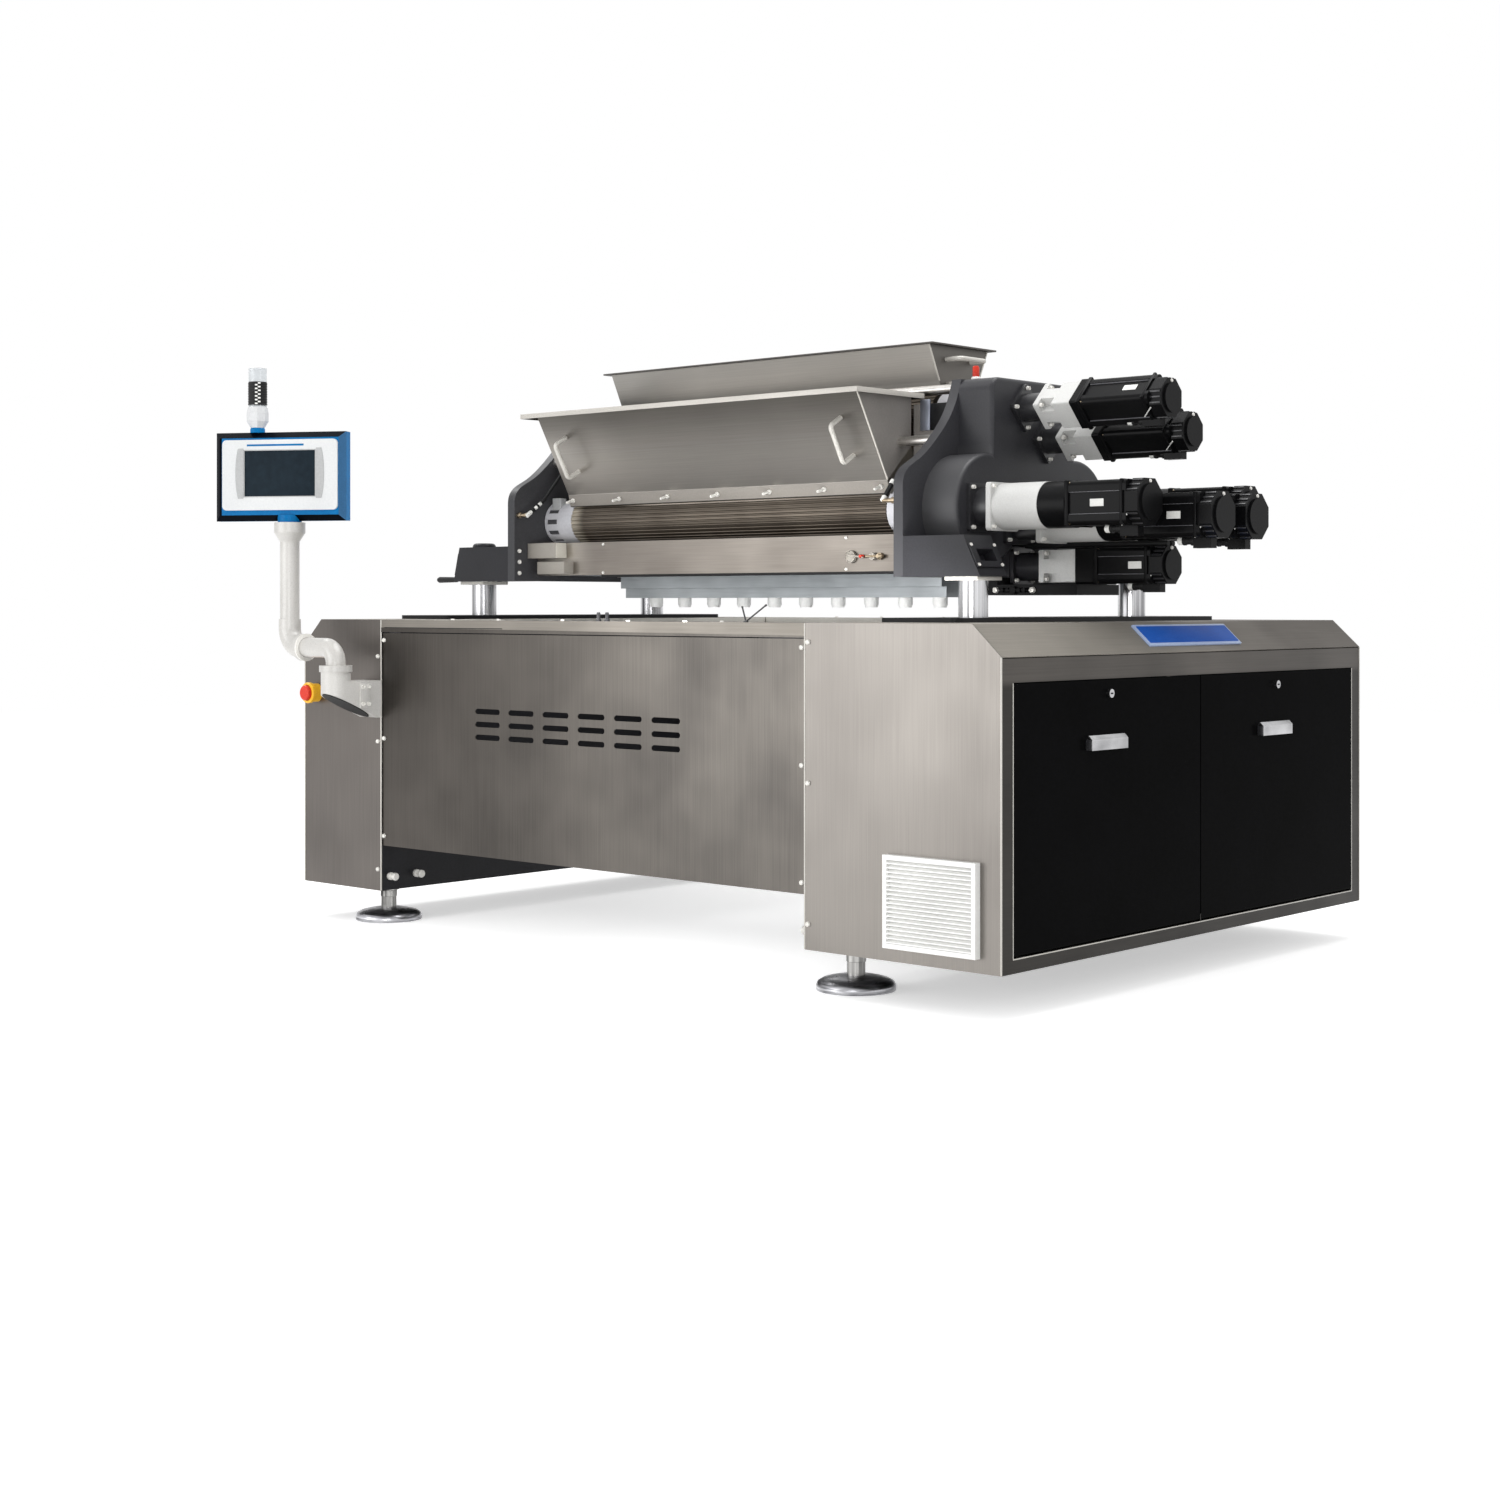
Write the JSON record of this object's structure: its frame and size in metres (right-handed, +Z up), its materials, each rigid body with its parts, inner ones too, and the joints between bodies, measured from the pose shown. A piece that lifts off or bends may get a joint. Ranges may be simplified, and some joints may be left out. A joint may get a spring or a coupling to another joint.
{
  "type": "cookie making machine",
  "caption": "Floor-standing roller depositor for cookie dough: hoppers over fluted feed rollers and a nozzle row, servo drives on one side, steel cabinets and a swing-arm operator panel.",
  "frame": {"origin": "point on the floor under the middle of the depositing head, midway between the side plates and under the nozzle row", "axes": "+X along the rollers towards the motors and the door end, +Y across the machine away from the operator panel, +Z up"},
  "size_m": [2.9606, 2.0883, 1.744],
  "materials": {
    "cabinet_steel": "vertically brushed stainless sheet",
    "side_black": "black coated sheet",
    "hopper_steel": "satin stainless sheet",
    "bright_steel": "fine ground steel",
    "roller_steel": "fluted stainless steel",
    "hard_chrome": "ground hard chrome",
    "foot_steel": "turned steel",
    "frame_steel": "grey primer",
    "black_casting": "fine black powder coat",
    "deck_black": "satin black",
    "motor_black": "semi-gloss black",
    "gearhead_silver": "blasted aluminium",
    "drive_grey": "moulded grey",
    "door_black": "polished black sheet",
    "white_plastic": "machined white food plastic",
    "die_grey": "anodised blue-grey",
    "panel_blue": "satin blue",
    "bezel_grey": "moulded light grey",
    "screen_dark": "unlit display",
    "beacon_grey": "moulded grey",
    "beacon_clear": "ribbed clear lens",
    "stop_yellow": "moulded yellow",
    "stop_red": "moulded red"
  },
  "bodies": {
    "base": {"cabinet_frames": "frame_steel", "cross_members": "frame_steel", "cabinet_end_sheets": "cabinet_steel", "cabinet_tops": "cabinet_steel", "cabinet_side_sheets": "side_black", "door_surround": "cabinet_steel", "centre_panels": "cabinet_steel", "top_rails": "cabinet_steel", "foot_stems": "foot_steel", "foot_pads": "foot_steel", "deck_plates": "deck_black", "lift_housings": "frame_steel", "column_bushes": "frame_steel", "vent_grille": "white_plastic", "servo_drives": "drive_grey", "hmi_bracket": "bright_steel", "estop_base": "stop_yellow", "door_pivot_pins": "frame_steel"},
    "head": {"right_side_plate": "black_casting", "left_side_plate": "black_casting", "columns": "hard_chrome", "column_brackets": "black_casting", "gear_cover": "black_casting", "cross_beams": "bright_steel", "cross_rods": "bright_steel", "front_hopper": "hopper_steel", "centre_hopper": "hopper_steel", "rear_hopper": "hopper_steel", "hopper_handles": "bright_steel", "roller_bearings": "bright_steel", "end_collars": "white_plastic", "motor_adapters": "black_casting", "gearheads": "gearhead_silver", "servo_motors": "motor_black", "motor_shelf": "black_casting", "manifold": "die_grey", "die_block": "die_grey", "nozzles": "white_plastic"},
    "front_flap": {"front_door": "door_black", "front_door_pull": "hard_chrome"},
    "front_lock": {"front_door_lock": "hard_chrome"},
    "rear_flap": {"rear_door": "door_black", "rear_door_pull": "hard_chrome"},
    "rear_lock": {"rear_door_lock": "hard_chrome"},
    "arm": {"arm_elbow": "bright_steel", "arm_pole": "bright_steel"},
    "panel": {"hmi_case": "panel_blue", "hmi_bezel": "bezel_grey", "hmi_screen": "screen_dark", "beacon_base": "beacon_grey", "beacon_lens": "beacon_clear"},
    "stop_button": {"estop_button": "stop_red"},
    "clamp": {"clamp_lever": "black_casting"},
    "front_outer": {"front_outer_roller": "roller_steel"},
    "front_inner": {"front_inner_roller": "roller_steel"},
    "centre_front": {"centre_front_roller": "roller_steel"},
    "centre_rear": {"centre_rear_roller": "roller_steel"},
    "rear_inner": {"rear_inner_roller": "roller_steel"},
    "rear_outer": {"rear_outer_roller": "roller_steel"},
    "rotor": {"dosing_rotor": "roller_steel"}
  },
  "joints": [
    {"name": "head_lift", "type": "slide", "parent": "base", "child": "head", "axis": [0, 0, 1], "range_m": [0, 0.08]},
    {"name": "front_flap_hinge", "type": "hinge", "parent": "base", "child": "front_flap", "pos_m": [1.45, -0.43, 0.155], "axis": [0, 1, 0], "range_deg": [0, 90]},
    {"name": "rear_flap_hinge", "type": "hinge", "parent": "base", "child": "rear_flap", "pos_m": [1.45, 0.43, 0.155], "axis": [0, 1, 0], "range_deg": [0, 90]},
    {"name": "front_lock_turn", "type": "hinge", "parent": "front_flap", "child": "front_lock", "pos_m": [1.456, -0.449, 0.768], "axis": [1, 0, 0], "range_deg": [0, 90]},
    {"name": "rear_lock_turn", "type": "hinge", "parent": "rear_flap", "child": "rear_lock", "pos_m": [1.456, 0.401, 0.768], "axis": [1, 0, 0], "range_deg": [0, 90]},
    {"name": "arm_swing", "type": "hinge", "parent": "base", "child": "arm", "pos_m": [-0.924, -1.046, 0.75], "axis": [0, 0, 1], "range_deg": [-15, 150]},
    {"name": "panel_swivel", "type": "hinge", "parent": "arm", "child": "panel", "pos_m": [-1.157, -1.046, 1.247], "axis": [0, 0, 1], "range_deg": [-90, 90]},
    {"name": "stop_press", "type": "slide", "parent": "base", "child": "stop_button", "axis": [0, 1, 0], "range_m": [0, 0.005], "stiffness_N_per_m": 1500},
    {"name": "clamp_turn", "type": "hinge", "parent": "head", "child": "clamp", "pos_m": [-1.092, -0.393, 1.074], "axis": [0, 0, 1], "range_deg": [-60, 60]},
    {"name": "front_outer_spin", "type": "hinge", "parent": "head", "child": "front_outer", "pos_m": [0, -0.258, 1.258], "axis": [1, 0, 0], "continuous": true},
    {"name": "front_inner_spin", "type": "hinge", "parent": "head", "child": "front_inner", "pos_m": [0, -0.088, 1.227], "axis": [1, 0, 0], "continuous": true},
    {"name": "centre_front_spin", "type": "hinge", "parent": "head", "child": "centre_front", "pos_m": [0, -0.055, 1.545], "axis": [1, 0, 0], "continuous": true},
    {"name": "centre_rear_spin", "type": "hinge", "parent": "head", "child": "centre_rear", "pos_m": [0, 0.055, 1.461], "axis": [1, 0, 0], "continuous": true},
    {"name": "rear_inner_spin", "type": "hinge", "parent": "head", "child": "rear_inner", "pos_m": [0, 0.088, 1.227], "axis": [1, 0, 0], "continuous": true},
    {"name": "rear_outer_spin", "type": "hinge", "parent": "head", "child": "rear_outer", "pos_m": [0, 0.258, 1.258], "axis": [1, 0, 0], "continuous": true},
    {"name": "rotor_spin", "type": "hinge", "parent": "head", "child": "rotor", "pos_m": [0, 0, 1.099], "axis": [1, 0, 0], "continuous": true}
  ],
  "couplings": [
    {"joint": "front_inner_spin", "follows": "front_outer_spin", "ratio": -1},
    {"joint": "centre_rear_spin", "follows": "centre_front_spin", "ratio": -1},
    {"joint": "rear_inner_spin", "follows": "rear_outer_spin", "ratio": -1}
  ]
}
